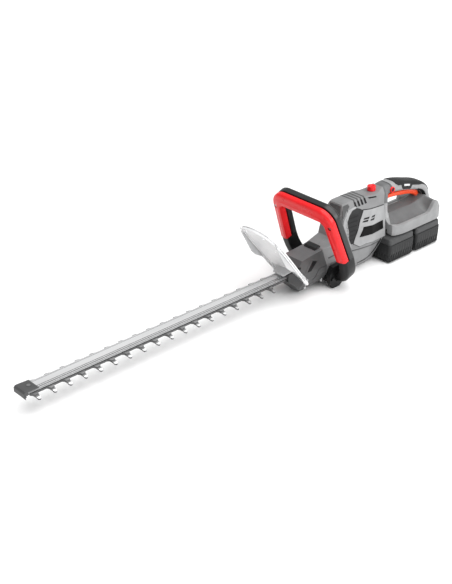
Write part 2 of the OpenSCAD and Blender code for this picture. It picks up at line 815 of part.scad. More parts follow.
// rounded block across the machine; its ends and its lower edges are rounded
module pack_body(i, z0, z1) hull() for (x = [9, pack_w - 9], s = [-1, 1])
    translate([x, s * (pack_half - 9), 0]) {
        translate([0, 0, z0 + 5]) cylinder(r = 9 - i, h = z1 - z0 - 5, $fn = 32);
        translate([0, 0, z0]) cylinder(r = 5 - i * 0.5, h = 1, $fn = 32);
    }

module pack_case(n) place() translate([pack_x[n], 0, 0]) difference() {
    pack_body(0, ground_z, lid_z);
    translate([0, 0, 2]) pack_body(2, ground_z, lid_z + 5);
}

module pack_lid(n) place() translate([pack_x[n], 0, 0]) difference() {
    union() {
        difference() {
            hull() for (x = [10, pack_w - 10], s = [-1, 1])
                rod_z(8.6, lid_z, pack_top - 1.4, x, s * (pack_half - 10));
            hull() for (x = [10, pack_w - 10], s = [-1, 1])
                rod_z(6.6, lid_z - 1, pack_top - 4, x, s * (pack_half - 10));
        }
        translate([pack_w / 2, 0, 0]) {
            block([-19, -36, pack_top - 1.5], [19, 44, pack_top + 1]);
            block([-15, -36, pack_top], [15, 44, pack_top + 5]);
            block([-19, -36, pack_top + 4.9], [19, 44, pack_top + 8]);
        }
    }
    translate([pack_w / 2, 0, 0]) for (k = [-1, 0, 1])
        block([k * 8 - 1.2, -40, pack_top + 2], [k * 8 + 1.2, -29, pack_top + 10]);
    translate([pack_w / 2, 0, 0]) block([-9.4, pack_half - 9, 9], [9.4, pack_half + 5, 18.4]);
}

module pack_cells(n) place() translate([pack_x[n] + pack_w / 2, 0, 0])
    for (row = [0, 1], k = [-2 : 2])
        rod_x(9, -32.5, 32.5, k * 19, -21.6 + row * 18.6);

module pack_latch(n) place() translate([pack_x[n] + pack_w / 2, 0, 0])
    block([-9, pack_half - 8.6, 9.4], [9, pack_half - 0.4, 18]);

module battery_front_case() color(dark) pack_case(0);

module battery_front_lid() color(dark) pack_lid(0);

module battery_front_cells() color("teal") pack_cells(0);

module battery_front_latch() color(black) pack_latch(0);

module battery_rear_case() color(dark) pack_case(1);

module battery_rear_lid() color(dark) pack_lid(1);

module battery_rear_cells() color("teal") pack_cells(1);

module battery_rear_latch() color(black) pack_latch(1);

guide_bar();
tip_cap();
blade_bushes();
blade_washers();
blade_screws();
upper_blade();
lower_blade();
hand_guard();
guard_screws();
gearcase_upper();
gearcase_lower();
gearcase_screws();
crank_bearings();
drive_gear();
pinion();
rotor();
fan();
motor_can();
motor_bearings();
housing_left();
housing_right();
housing_screws();
side_panel_left();
side_panel_right();
intake_panels();
badge_plates();
control_board();
front_switch();
handle_shell();
handle_brackets();
handle_bolts();
switch_bar();
switch_bar_screws();
switch_bar_springs();
turn_ring();
turn_hub();
rotation_lock();
lock_spring();
rear_shell_left();
rear_shell_right();
rear_shell_screws();
grip_overmould();
grip_badge();
saddle();
rear_switch();
switch_spring();
trigger();
trigger_pin();
lock_off_button();
battery_rails();
terminal_blocks();
battery_front_case();
battery_front_lid();
battery_front_cells();
battery_front_latch();
battery_rear_case();
battery_rear_lid();
battery_rear_cells();
battery_rear_latch();
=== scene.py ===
"""Looks of the hedge trimmer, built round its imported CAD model."""

import math

import bmesh
import bpy
from mathutils import Matrix, Vector


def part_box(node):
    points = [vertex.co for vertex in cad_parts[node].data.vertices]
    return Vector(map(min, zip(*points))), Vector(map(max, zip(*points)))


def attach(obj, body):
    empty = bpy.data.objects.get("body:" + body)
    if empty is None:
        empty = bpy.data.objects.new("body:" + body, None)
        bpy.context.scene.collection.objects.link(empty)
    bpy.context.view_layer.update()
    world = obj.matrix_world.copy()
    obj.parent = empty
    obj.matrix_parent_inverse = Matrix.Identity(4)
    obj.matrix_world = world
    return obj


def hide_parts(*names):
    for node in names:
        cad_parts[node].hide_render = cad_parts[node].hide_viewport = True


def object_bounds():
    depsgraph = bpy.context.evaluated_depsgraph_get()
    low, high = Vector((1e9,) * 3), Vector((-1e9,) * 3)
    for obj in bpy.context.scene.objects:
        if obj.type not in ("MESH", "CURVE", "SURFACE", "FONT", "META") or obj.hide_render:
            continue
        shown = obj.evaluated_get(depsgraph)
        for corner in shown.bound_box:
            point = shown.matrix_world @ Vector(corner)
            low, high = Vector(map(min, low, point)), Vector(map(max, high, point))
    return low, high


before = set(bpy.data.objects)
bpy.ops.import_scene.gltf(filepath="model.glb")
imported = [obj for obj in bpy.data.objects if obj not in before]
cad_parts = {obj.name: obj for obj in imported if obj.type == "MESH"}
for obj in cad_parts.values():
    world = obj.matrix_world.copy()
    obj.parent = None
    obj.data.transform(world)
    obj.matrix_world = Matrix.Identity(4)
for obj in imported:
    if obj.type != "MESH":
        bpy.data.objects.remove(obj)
cad_box = [list(corner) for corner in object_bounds()]

MM = 0.001

# Everything below is laid out in millimetres from the first near tooth of the blade, as the CAD is.
# X runs back along the machine, Y across it and Z up; the bar starts at BAR_START, the packs stand on FOOT.
BAR_START = -31
FOOT = -34
ORIGIN = Vector((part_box("guide_bar")[0].x - BAR_START * MM, 0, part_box("battery_front_case")[0].z - FOOT * MM))

SPLIT = 0.12  # half the hairline between two shell halves
PACK_W = 76
PACK_HALF = 55
PACK_X = (806, 888)
PACK_TOP = 22
LID_Z = 7
RAIL_SLOT = (17, 59)  # from the front of a pack, where its neck runs through the base


def at(x, y, z):
    """A point of the machine as a place in the frame, in metres."""
    return ORIGIN + Vector((x, y, z)) * MM


# ---------- procedural materials ----------


def link(tree, source, socket, target, name):
    tree.links.new(source.outputs[socket], target.inputs[name])


def noise_node(tree, coords, scale, detail):
    node = tree.nodes.new("ShaderNodeTexNoise")
    node.inputs["Scale"].default_value = scale
    node.inputs["Detail"].default_value = detail
    tree.links.new(coords, node.inputs["Vector"])
    return node


def ramp_node(tree, source, low, high, first, last):
    node = tree.nodes.new("ShaderNodeMapRange")
    node.inputs["From Min"].default_value = low
    node.inputs["From Max"].default_value = high
    node.inputs["To Min"].default_value = first
    node.inputs["To Max"].default_value = last
    tree.links.new(source, node.inputs["Value"])
    return node.outputs["Result"]


def material(
    name,
    colour,
    roughness,
    metallic=0.0,
    grain=1400,
    depth=0.12,
    mottle=0.08,
    scuffs=0.0,
    stretch=(1, 1, 1),
    coat=0.0,
    shine=0.28,
):
    """Plastic, rubber or metal: mottled colour, uneven gloss, fine grain in the surface and light scuffs."""
    made = bpy.data.materials.new(name)
    made.use_nodes = True
    tree = made.node_tree
    shader = tree.nodes["Principled BSDF"]
    shader.inputs["Metallic"].default_value = metallic
    shader.inputs["Specular IOR Level"].default_value = 0.5 if metallic else shine
    shader.inputs["Coat Weight"].default_value = coat
    shader.inputs["Coat Roughness"].default_value = 0.12
    place = tree.nodes.new("ShaderNodeTexCoord")
    mapping = tree.nodes.new("ShaderNodeMapping")
    mapping.inputs["Scale"].default_value = stretch
    link(tree, place, "Object", mapping, "Vector")
    coords = mapping.outputs["Vector"]
    broad = noise_node(tree, coords, 38, 4).outputs["Fac"]
    fine = noise_node(tree, coords, grain, 2).outputs["Fac"]
    # colour
    tone = tree.nodes.new("ShaderNodeMix")
    tone.data_type = "RGBA"
    tone.inputs["A"].default_value = [c * (1 - mottle) for c in colour] + [1]
    tone.inputs["B"].default_value = [min(1, c * (1 + mottle)) for c in colour] + [1]
    tree.links.new(ramp_node(tree, broad, 0.35, 0.65, 0, 1), tone.inputs["Factor"])
    shade = tone.outputs["Result"]
    if scuffs:
        marks = noise_node(tree, coords, 260, 6).outputs["Fac"]
        worn = tree.nodes.new("ShaderNodeMix")
        worn.data_type = "RGBA"
        worn.inputs["B"].default_value = [min(1, c * 1.6 + 0.05) for c in colour] + [1]
        tree.links.new(shade, worn.inputs["A"])
        tree.links.new(ramp_node(tree, marks, 0.66, 0.78, 0, scuffs), worn.inputs["Factor"])
        shade = worn.outputs["Result"]
    tree.links.new(shade, shader.inputs["Base Color"])
    # gloss
    tree.links.new(ramp_node(tree, broad, 0.3, 0.7, roughness * 0.88, roughness * 1.12), shader.inputs["Roughness"])
    # grain
    bump = tree.nodes.new("ShaderNodeBump")
    bump.inputs["Strength"].default_value = depth
    bump.inputs["Distance"].default_value = 0.0004
    tree.links.new(fine, bump.inputs["Height"])
    link(tree, bump, "Normal", shader, "Normal")
    return made


def clear_plastic(name, level):
    """Frosted clear plastic of the hand guard: slightly milky, with faint moulding streaks."""
    made = material(name, grey(level, 0.01), 0.25, grain=300, depth=0.05, mottle=0.05)
    shader = made.node_tree.nodes["Principled BSDF"]
    shader.inputs["Transmission Weight"].default_value = 0.42
    shader.inputs["IOR"].default_value = 1.35
    return made


def grey(level, tint=0.0):
    """A neutral colour, slightly cool when tint is above nought."""
    return (level, level * (1 + tint * 0.4), level * (1 + tint))


LIGHT = material("light_plastic", grey(0.30, 0.02), 0.42, scuffs=0.15)
BASE = material("base_plastic", grey(0.245, 0.02), 0.42, scuffs=0.15)
SHELL = material("shell_plastic", grey(0.20, 0.02), 0.40, scuffs=0.15)
BAND = material("band_plastic", grey(0.14, 0.04), 0.38)
DARK = material("dark_plastic", grey(0.070, 0.02), 0.40, scuffs=0.18)
SADDLE = material("saddle_plastic", grey(0.115, 0.02), 0.34, scuffs=0.1)
BLACK = material("black_plastic", grey(0.009, 0.06), 0.36, scuffs=0.1, shine=0.2)
RUBBER = material("grip_rubber", grey(0.016, 0.05), 0.48, grain=900, depth=0.5, mottle=0.15, shine=0.2)
COLLAR = material("collar_plastic", grey(0.050, 0.04), 0.40, grain=1100, depth=0.2, scuffs=0.15)
PACK = material("pack_plastic", grey(0.020, 0.05), 0.38, grain=1100, depth=0.3, scuffs=0.2, shine=0.18)
GLOSS = material("plate_gloss", grey(0.004), 0.4, depth=0.03, shine=0.06)
# light grey for the inlay on the soft grip: a painted highlight
GRIP_HIGHLIGHT = material("grip_painted_highlight", grey(0.55, 0.01), 0.3, depth=0.05)
RED = material("red_plastic", (0.78, 0.012, 0.016), 0.3, depth=0.03, mottle=0.04, coat=0.1)
ORANGE = material("orange_plastic", (0.82, 0.075, 0.022), 0.32, depth=0.05, mottle=0.05, coat=0.1)
CLEAR = clear_plastic("clear_guard", 0.84)
FIN = clear_plastic("clear_fin", 0.74)
MILKY = material("milky_plastic", grey(0.56, 0.01), 0.3, grain=300, depth=0.05, mottle=0.04)
HANDLE = material("handle_plastic", grey(0.016, 0.06), 0.34, scuffs=0.1, shine=0.5)
RIM = material("guard_rim", grey(0.80, 0.01), 0.25, grain=300, depth=0.04, mottle=0.03, coat=0.2)
ALLOY = material("bar_alloy", grey(0.80, 0.01), 0.32, 0.6, grain=700, depth=0.16, stretch=(0.06, 1, 1))
STEEL = material("blade_steel", grey(0.52, 0.01), 0.30, 0.8, grain=800, depth=0.2, stretch=(1, 0.08, 1))
# near-black metal for the outer side faces of the bar: painted shade on its sides
BAR_SIDE_SHADE = material("bar_side_painted_shade", grey(0.045, 0.02), 0.4, 0.4, grain=900, depth=0.2)
# dark steel for the upright faces of the blades: painted shade on the sides of the teeth
BLADE_SIDE_SHADE = material("blade_side_painted_shade", grey(0.11, 0.02), 0.35, 0.6, grain=900, depth=0.2)
# darker alloy for the bar's upright faces, the walls of its grooves: painted shade
GROOVE_WALL_SHADE = material("groove_wall_painted_shade", grey(0.26, 0.02), 0.4, 0.5, grain=900, depth=0.2)
SCREW = material("screw_steel", grey(0.42, 0.02), 0.3, 1.0, grain=1500, depth=0.15)
GEAR = material("gear_steel", grey(0.30, 0.02), 0.35, 1.0, grain=1500, depth=0.2, mottle=0.15)
IRON = material("motor_iron", grey(0.20, 0.03), 0.5, 0.9, grain=900, depth=0.3, mottle=0.2)
COPPER = material("winding_copper", (0.55, 0.22, 0.09), 0.35, 0.9, grain=2200, depth=0.4, stretch=(0.1, 1, 1))
BRASS = material("contact_brass", (0.75, 0.55, 0.22), 0.28, 1.0, grain=1500, depth=0.1)
BOARD = material("board_green", (0.02, 0.16, 0.06), 0.35, grain=1800, depth=0.1, mottle=0.2)
CELL = material("cell_wrap", (0.03, 0.25, 0.27), 0.3, grain=1500, depth=0.05, mottle=0.05)


# ---------- mesh helpers ----------


def carve(made, parts):
    """Takes closed parts, each (verts, faces) in millimetres, out of a piece."""
    for verts, faces in parts:
        mesh = bpy.data.meshes.new("cutter")
        mesh.from_pydata([at(*v) for v in verts], [], faces)
        work = bmesh.new()
        work.from_mesh(mesh)
        bmesh.ops.recalc_face_normals(work, faces=work.faces)
        work.to_mesh(mesh)
        work.free()
        cutter = bpy.data.objects.new("cutter", mesh)
        bpy.context.scene.collection.objects.link(cutter)
        modifier = made.modifiers.new("cut", "BOOLEAN")
        modifier.operation = "DIFFERENCE"
        modifier.solver = "EXACT"
        modifier.object = cutter
        bpy.context.view_layer.update()
        result = bpy.data.meshes.new_from_object(made.evaluated_get(bpy.context.evaluated_depsgraph_get()))
        made.modifiers.clear()
        made.data = result
        bpy.data.objects.remove(cutter)


def piece(name, verts, faces, finish, body, replaces=(), bevel=0.0, sharp=35, holes=()):
    """A mesh piece from points in millimetres, that rides on a body and may stand for CAD nodes."""
    mesh = bpy.data.meshes.new(name)
    mesh.from_pydata([at(*v) for v in verts], [], faces)
    work = bmesh.new()
    work.from_mesh(mesh)
    bmesh.ops.remove_doubles(work, verts=work.verts, dist=1e-6)
    bmesh.ops.dissolve_degenerate(work, edges=work.edges, dist=1e-7)
    bmesh.ops.recalc_face_normals(work, faces=work.faces)
    work.to_mesh(mesh)
    work.free()
    mesh.shade_smooth()
    mesh.set_sharp_from_angle(angle=math.radians(sharp))
    made = bpy.data.objects.new(name, mesh)
    bpy.context.scene.collection.objects.link(made)
    made.data.materials.append(finish)
    if holes:
        carve(made, holes)
        made.data.shade_smooth()
        made.data.set_sharp_from_angle(angle=math.radians(sharp))
    if bevel:
        soften(made, bevel)
    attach(made, body)
    if replaces:
        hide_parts(*replaces)
    return made


def soften(made, width, segments=3):
    """Rounds the sharp edges of a piece."""
    modifier = made.modifiers.new("edges", "BEVEL")
    modifier.limit_method = "ANGLE"
    modifier.angle_limit = math.radians(28)
    modifier.width = width * MM
    modifier.segments = segments
    modifier.harden_normals = True
    modifier.use_clamp_overlap = True


def loft(rings):
    """Skins rings of points, and caps both ends; each ring is a closed line with the same number of points."""
    n = len(rings[0])
    verts = [p for ring in rings for p in ring]
    faces = []
    for i in range(len(rings) - 1):
        for k in range(n):
            m = (k + 1) % n
            faces.append((i * n + k, i * n + m, (i + 1) * n + m, (i + 1) * n + k))
    faces.append(tuple(reversed(range(n))))
    faces.append(tuple((len(rings) - 1) * n + k for k in range(n)))
    return verts, faces


def joined(*parts):
    """Several (verts, faces) pairs as one."""
    verts, faces = [], []
    for v, f in parts:
        faces += [tuple(i + len(verts) for i in face) for face in f]
        verts += v
    return verts, faces


def mirrored(part):
    verts, faces = part
    return [(x, -y, z) for x, y, z in verts], [tuple(reversed(f)) for f in faces]


def both(part):
    return joined(part, mirrored(part))


def prism(outline, low, high, along="y"):
    """An outline raised along an axis: xz outlines along y, yz outlines along x, xy outlines along z."""
    place = {
        "x": lambda a, b, h: (h, a, b),
        "y": lambda a, b, h: (a, h, b),
        "z": lambda a, b, h: (a, b, h),
    }[along]
    return loft([[place(a, b, low) for a, b in outline], [place(a, b, high) for a, b in outline]])


def rectangle(a0, a1, b0, b1):
    return [(a0, b0), (a1, b0), (a1, b1), (a0, b1)]


def arc(cx, cy, r, start, end, steps):
    """Points of an arc, with the angles in degrees."""
    angles = [math.radians(start + (end - start) * i / steps) for i in range(steps + 1)]
    return [(cx + r * math.cos(t), cy + r * math.sin(t)) for t in angles]


def curve_at(points, x):
    """Height of a line through points (x, value), straight between them."""
    if x <= points[0][0]:
        return points[0][1]
    for (x0, v0), (x1, v1) in zip(points, points[1:]):
        if x <= x1:
            return v0 + (v1 - v0) * (x - x0) / max(1e-9, x1 - x0)
    return points[-1][1]


def smooth_line(points, per=6):
    """A Catmull-Rom line through points of any dimension."""
    ends = [tuple(2 * a - b for a, b in zip(points[0], points[1]))]
    tail = [tuple(2 * a - b for a, b in zip(points[-1], points[-2]))]
    p = ends + list(points) + tail
    out = []
    for i in range(1, len(p) - 2):
        for k in range(per):
            t = k / per
            out.append(tuple(
                0.5 * (2 * b + (c - a) * t + (2 * a - 5 * b + 4 * c - d) * t * t + (3 * b - a - 3 * c + d) * t**3)
                for a, b, c, d in zip(p[i - 1], p[i], p[i + 1], p[i + 2])
            ))
    out.append(tuple(points[-1]))
    return out


# ---------- motor housing ----------

TOP_LINE = [(642, 44), (684, 49), (699, 117), (704, 119), (762, 118), (788, 113), (806, 113.5), (821.6, 119)]
LOW_LINE = [(642, -22), (690, -32), (785, -32.5), (797, -27), (803, -14), (805, 4), (808, 10), (821.6, 14)]
FRONT_HALF = [(-26, 17), (-8, 31), (2, 35), (16, 35), (42, 22), (62, 20), (98, 17), (119, 14)]
MIDDLE_HALF = [(-32, 17), (-8, 33), (22, 40), (62, 39), (96, 30), (117, 17.5)]
REAR_HALF = [(-12, 14), (4, 25), (18, 29), (60, 24), (84, 20), (108, 19), (120, 13)]


def housing_half_width(x, z):
    """Half width of the motor housing at a place along it and a height."""
    front, middle, rear = (curve_at(line, z) for line in (FRONT_HALF, MIDDLE_HALF, REAR_HALF))
    if x < 735:
        return front + (middle - front) * max(0, (x - 640) / 95)
    if x < 765:
        return middle
    return middle + (rear - middle) * min(1, (x - 765) / 56)


def housing_ring(x, inset=0.0):
    """Half a section of the housing, from the bottom seam round the side to the top seam."""
    corner = 2.2
    low, top = curve_at(LOW_LINE, x) + inset, curve_at(TOP_LINE, x) - inset
    ring = [(x, SPLIT, low)]
    levels = [low + corner * (1 - math.cos(math.radians(a))) for a in (0, 30, 60, 90)]
    levels += [low + corner + (top - low - 2 * corner) * k / 40 for k in range(1, 40)]
    levels += [top - corner * (1 - math.sin(math.radians(a))) for a in (0, 30, 60, 90)]
    for z in levels:
        half = housing_half_width(x, z) - inset
        near = min(z - low, top - z)
        if near < corner:
            half -= corner - math.sqrt(max(0, corner**2 - (corner - near) ** 2))
        ring.append((x, max(half, SPLIT + 0.2), z))
    ring.append((x, SPLIT, top))
    return ring


def housing_half():
    stations = sorted({642, 642.8, 684, 699, 704, 735, 762, 765, 785, 788, 806, 821, 821.6}
                      | {642 + 3 * k for k in range(1, 60)})
    return loft([housing_ring(x, 0.8 if x in (642, 821.6) else 0.0) for x in stations])


def patch(outline, over, under, cell=3.0):
    """A thin closed panel: over and under turn points of its flat outline into points in space."""
    work = bmesh.new()
    work.faces.new([work.verts.new((a, 0, b)) for a, b in outline])
    bmesh.ops.triangulate(work, faces=work.faces)
    for i, normal in ((0, (1, 0, 0)), (1, (0, 0, 1))):
        low, high = min(p[i] for p in outline), max(p[i] for p in outline)
        for k in range(1, int((high - low) / cell) + 1):
            level = low + k * cell
            bmesh.ops.bisect_plane(work, geom=list(work.verts) + list(work.edges) + list(work.faces),
                                   plane_co=(level, 0, 0) if i == 0 else (0, 0, level), plane_no=normal)
    flat = [(v.co.x, v.co.z) for v in work.verts]
    index = {v: i for i, v in enumerate(work.verts)}
    n = len(flat)
    faces = [tuple(index[v] for v in f.verts) for f in work.faces]
    rim = [tuple(index[v] for v in e.verts) for e in work.edges if e.is_boundary]
    work.free()
    faces += [tuple(i + n for i in reversed(f)) for f in faces] + [(a, b, b + n, a + n) for a, b in rim]
    return [over(a, b) for a, b in flat] + [under(a, b) for a, b in flat], faces


def side_patch(outline, lift, depth, half_width=housing_half_width):
    """A panel that follows a side surface: outline in x and z, lift above the surface, depth down into it."""
    return patch(outline, lambda x, z: (x, half_width(x, z) + lift, z), lambda x, z: (x, half_width(x, z) - depth, z))


def outset(outline, d):
    """An outline moved outwards by d."""
    turn = math.copysign(1, sum(a[0] * b[1] - b[0] * a[1] for a, b in zip(outline, outline[1:] + outline[:1])))
    out = []
    for i, (x, y) in enumerate(outline):
        (ax, ay), (bx, by) = outline[i - 1], outline[(i + 1) % len(outline)]
        before, after = math.hypot(x - ax, y - ay), math.hypot(bx - x, by - y)
        nx = turn * ((y - ay) / before + (by - y) / after)
        ny = -turn * ((x - ax) / before + (bx - x) / after)
        k = d / max(0.3, (nx * nx + ny * ny) / 2)
        out.append((x + nx * k, y + ny * k))
    return out


# outlines on the side of the housing, in x and z
INTAKE = [(731, 104.8), (738, 102), (745.3, 97.6), (732.3, 81.7), (725.6, 69.3), (718.8, 52.7), (713, 38), (708, 37),
          (703.6, 48), (699, 60), (698.5, 71.4), (702.7, 85), (709, 96), (719, 102.8)]
ARCH = [(731, 107.5), (722, 107), (712, 105.5), (702, 99), (694.5, 88), (690, 74), (690.5, 60), (695, 46), (702, 34),
        (708, 30)]


def build_shells():
    half = housing_half()
    piece("housing_shell_left", *mirrored(half), SHELL, "machine", ["housing_left"], bevel=0.9)
    piece("housing_shell_right", *half, SHELL, "machine", ["housing_right"], bevel=0.9)


def build_side_panels():
    """The light panel on each side, with its blank plate and short slits."""
    panel = [(746.2, 97), (817, 84), (818.5, 60), (816, 19.5), (777, 24.6), (747, 28.7), (729, 28), (714.5, 37),
             (720, 52.4), (733.4, 81)]
    piece("side_panels", *both(side_patch(panel, 1.6, 1.0)), LIGHT, "machine", ["side_panel_left", "side_panel_right"],
          bevel=0.7)
    piece("panel_gaps", *both(side_patch(outset(panel, 1.1), 0.8, 0.6)), BLACK, "machine")
    plate = [(738.6, 66.5), (808, 56.5), (809, 38.5), (728, 48)]
    piece("blank_plates", *both(side_patch(plate, 2.0, 1.0)), GLOSS, "machine", ["badge_plates"], bevel=0.4)
    slits = []
    for x, z in ((741.5, 80), (737.5, 75.4)):
        for k in range(2):
            dx, dz, run = 22.5 * k, -2.6 * k, 15 - 2 * k
            slits.append(side_patch([(x + dx, z + dz), (x + dx + 3.2, z + dz + 2.4), (x + dx + run + 3.2, z + dz + 1),
                                     (x + dx + run, z + dz - 2.2)], 1.9, 1.0))
    piece("side_slits", *both(joined(*slits)), BLACK, "machine", bevel=0.2)


def build_intakes():
    """The louvred intake on each side and the light band that arches over it."""
    piece("intakes", *both(side_patch(INTAKE, 0.6, 2.0)), PACK, "machine", ["intake_panels"], bevel=0.6)
    louvres = []
    for k in range(6):
        z = 46 + 8.6 * k
        x0, x1 = 706 - 0.02 * (z - 46), 715 + 0.38 * (z - 46)
        louvres.append(side_patch([(x0, z), (x1, z + 1), (x1 - 1, z + 2.6), (x0, z + 1.6)], 0.9, 1.0))
    piece("louvres", *both(joined(*louvres)), BLACK, "machine")
    band = list(reversed(INTAKE[7:] + INTAKE[:1])) + list(reversed(ARCH))
    piece("arch_bands", *both(side_patch(band, 1.3, 1.0)), LIGHT, "machine", bevel=0.6)


def build_housing_front():
    """Painted shade: a dark patch on the sloping front face and a darker one on the corner between it and the arch
    band.
    """
    corner = [(700.5, 115), (714, 115.4), (716, 110.5), (704, 103.5), (694, 92), (689, 78), (690, 90)]
    piece("front_corner_painted_shade", *both(side_patch(corner, 0.5, 1.0)), DARK, "machine", bevel=0.4)
    front = [(-17, 76), (17, 76), (15.5, 100), (13.5, 114), (-13.5, 114), (-15.5, 100)]

    def on_slope(y, z, depth):
        return (684 + (z - 49) * 15 / 68 + depth, y, z)

    made = patch(front, lambda y, z: on_slope(y, z, -0.5), lambda y, z: on_slope(y, z, 1.5))
    piece("front_face_painted_shade", *made, DARK, "machine", bevel=0.3)


def build_side_lines():
    """The seam line along the lower part, and a dark strip of painted shade above the rear heel."""
    rib = [(650, 27), (694, 32), (708, 25), (797, 16.5), (796, 14.8), (707, 23), (693, 29.6), (650, 25)]
    piece("side_ribs", *both(side_patch(rib, 0.5, 1.0)), DARK, "machine", bevel=0.3)
    # painted shade: the shaded lower rear face of the housing, drawn as a dark strip
    strip = [(801, 20), (793, 13), (786, 0), (778, -9), (760, -14), (742, -17), (742, -20), (764, -19), (782, -15.5),
             (791, -6), (797, 4), (806, 14)]
    piece("heel_painted_shade", *both(side_patch(strip, 0.6, 1.0)), PACK, "machine", bevel=0.3)


# ---------- top of the housing ----------


def over_top(x0, x1, lowest, lift, depth=1.0):
    """A strip that runs over the top of the housing from side to side, down to a height."""
    rings = []
    for x in (x0, x1):
        side = [p for p in housing_ring(x) if p[2] > lowest]
        line = [(x, -y, z) for x, y, z in side] + list(reversed(side))
        mid = max(p[2] for p in line)
        top = [(x, y * (1 + lift / 22), z + lift * (z - lowest) / (mid - lowest)) for x, y, z in line]
        low = [(x, y * (1 - depth / 18), z - depth) for x, y, z in line]
        rings.append(top + list(reversed(low)))
    return loft(rings)


def build_top():
    # the slots are painted shade: dark strips over the top and black patches at their ends, not cut into the shell
    slots, ends = [], []
    for k in range(4):
        x = 729.5 + 9.4 * k
        slots.append(over_top(x, x + 3.2, 107, 0.35))
        ends.append(side_patch([(x - 0.6, 106), (x + 4.2, 106), (x + 3.8, 115), (x - 0.2, 115)], 0.9, 0.5))
    piece("top_slots", *joined(*slots), DARK, "machine", sharp=50)
    piece("slot_end_painted_shade", *both(joined(*ends)), BLACK, "machine")
    mark = side_patch([(770, 113.6), (793, 109.8), (795, 107.4), (772, 111)], 0.6, 0.6)
    piece("top_marks", *both(mark), BLACK, "machine")


# ---------- front loop handle ----------

LEAN = math.radians(20.9)
BAR_D = 14
BAR_GAP = 3
TUBE_D = 14
TUBE_W = 20.5
TOP_W = 26.5
LOOP_TOP = 119
LOOP_HALF = 78.6
FOOT_END = 40


def on_handle(d, y, v):
    """A point of the loop handle: d forwards out of its face, y across, v up along it."""
    return (634 - d * math.cos(LEAN) - v * math.sin(LEAN), y, 36 - d * math.sin(LEAN) + v * math.cos(LEAN))


def loop_path(low):
    """Matched outer and inner points of the loop, up one leg from v = low, over the top and down the other."""
    steps = 12
    legs = [low + (80 - low) * k / 5 for k in range(5)]
    outer = [(-86.2 + 7.6 * v / 87, v) for v in legs] + [
        (-(LOOP_HALF - 32) + y, v) for y, v in arc(0, LOOP_TOP - 32, 32, 176, 90, steps)]
    inner = [(-65.3 + 7.2 * v / 80, v) for v in legs] + [
        (-(LOOP_HALF - TUBE_W - 12) + y, v) for y, v in arc(0, LOOP_TOP - TOP_W - 12, 12, 176, 90, steps)]
    return outer + [(-y, v) for y, v in reversed(outer)], inner + [(-y, v) for y, v in reversed(inner)]


def foot_path(half, deep):
    """One edge of a leg's rounded lower end, from the leg down and in to the bracket."""
    steps = 14
    turns = [math.radians(90 * i / steps) for i in range(1, steps + 1)]
    return [(FOOT_END + half * max(0, math.cos(t)) ** 0.77, -deep * math.sin(t) ** 0.77) for t in turns]


def ring_on_handle(profile, outer, inner):
    """A section of the loop from (depth, share of the width from the inner edge) pairs."""
    (yo, vo), (yi, vi) = outer, inner
    return [on_handle(d, yi + (yo - yi) * t, vi + (vo - vi) * t) for d, t in profile]


def rounded_profile(back, front, r_back, r_front, crease=0):
    """Section corners rounded at the back and front; crease lowers the outer part of the front face."""
    r_inner = 2.6
    points = arc(back + r_back, r_back, r_back, 180, 270, 5) + arc(front - r_inner, r_inner, r_inner, 270, 360, 5)
    if crease:
        points += [(front, TUBE_W * 0.38), (front - 0.5, TUBE_W * 0.42)]
    points += arc(front - crease - r_front, TUBE_W - r_front, r_front, 0, 90, 7)
    points += arc(back + r_back, TUBE_W - r_back, r_back, 90, 180, 5)
    return [(d, w / TUBE_W) for d, w in points]


def sweep(profile, pairs):
    """A section swept along matched (outer, inner) points of the loop."""
    return loft([ring_on_handle(profile, outer, inner) for outer, inner in pairs])


def build_handle():
    red = rounded_profile(-BAR_D, 0, 0.8, 6.0, crease=1.6)
    wells = [loft([[on_handle(d, side * 70.5 + a, 85 + b) for a, b in arc(0, 0, 4, 0, 345, 23)] for d in (-5.5, 2)])
             for side in (-1, 1)]
    piece("switch_bar_cover", *sweep(red, zip(*loop_path(1))), RED, "front_switch_bar", ["switch_bar"], sharp=24,
          holes=wells)
    back = -BAR_D - BAR_GAP - TUBE_D
    shell = rounded_profile(back, -BAR_D - BAR_GAP, 5.0, 1.2)
    piece("handle_tube", *sweep(shell, zip(*loop_path(-1))), HANDLE, "machine", ["handle_shell"], sharp=30)
    foot = rounded_profile(back, -BAR_GAP, 5.0, 6.0)
    leg_end = ((86.2, 0.5), (65.2, 0.5))
    path = [leg_end] + list(zip(foot_path(46, 63.5), foot_path(46 - TUBE_W, 63.5 - TUBE_W)))
    piece("handle_feet", *both(sweep(foot, path)), BLACK, "machine", sharp=30)


# ---------- hand guard ----------

GUARD_LEAN = math.radians(38)


def on_guard(d, y, v):
    """A point of the hand guard's plane: d behind its face, y across, v up along it."""
    return (582 + d * math.cos(GUARD_LEAN) - v * math.sin(GUARD_LEAN), y,
            d * math.sin(GUARD_LEAN) + v * math.cos(GUARD_LEAN))


GUARD_EDGE = [(43.5, 2), (44.5, 12), (46, 30), (48, 60), (49, 92), (49, 114), (47.5, 133), (42.5, 148), (33, 158),
              (18, 163.4), (0, 165)]


def swept_rim(path, section):
    """A flat bar along a path in the guard's plane; section is (offset inwards, depth) pairs."""
    rings = []
    for i, (y, v) in enumerate(path):
        (y0, v0), (y1, v1) = path[max(0, i - 1)], path[min(len(path) - 1, i + 1)]
        length = math.hypot(y1 - y0, v1 - v0)
        ny, nv = (v1 - v0) / length, -(y1 - y0) / length
        rings.append([on_guard(d, y + ny * inwards, v + nv * inwards) for inwards, d in section])
    return loft(rings)


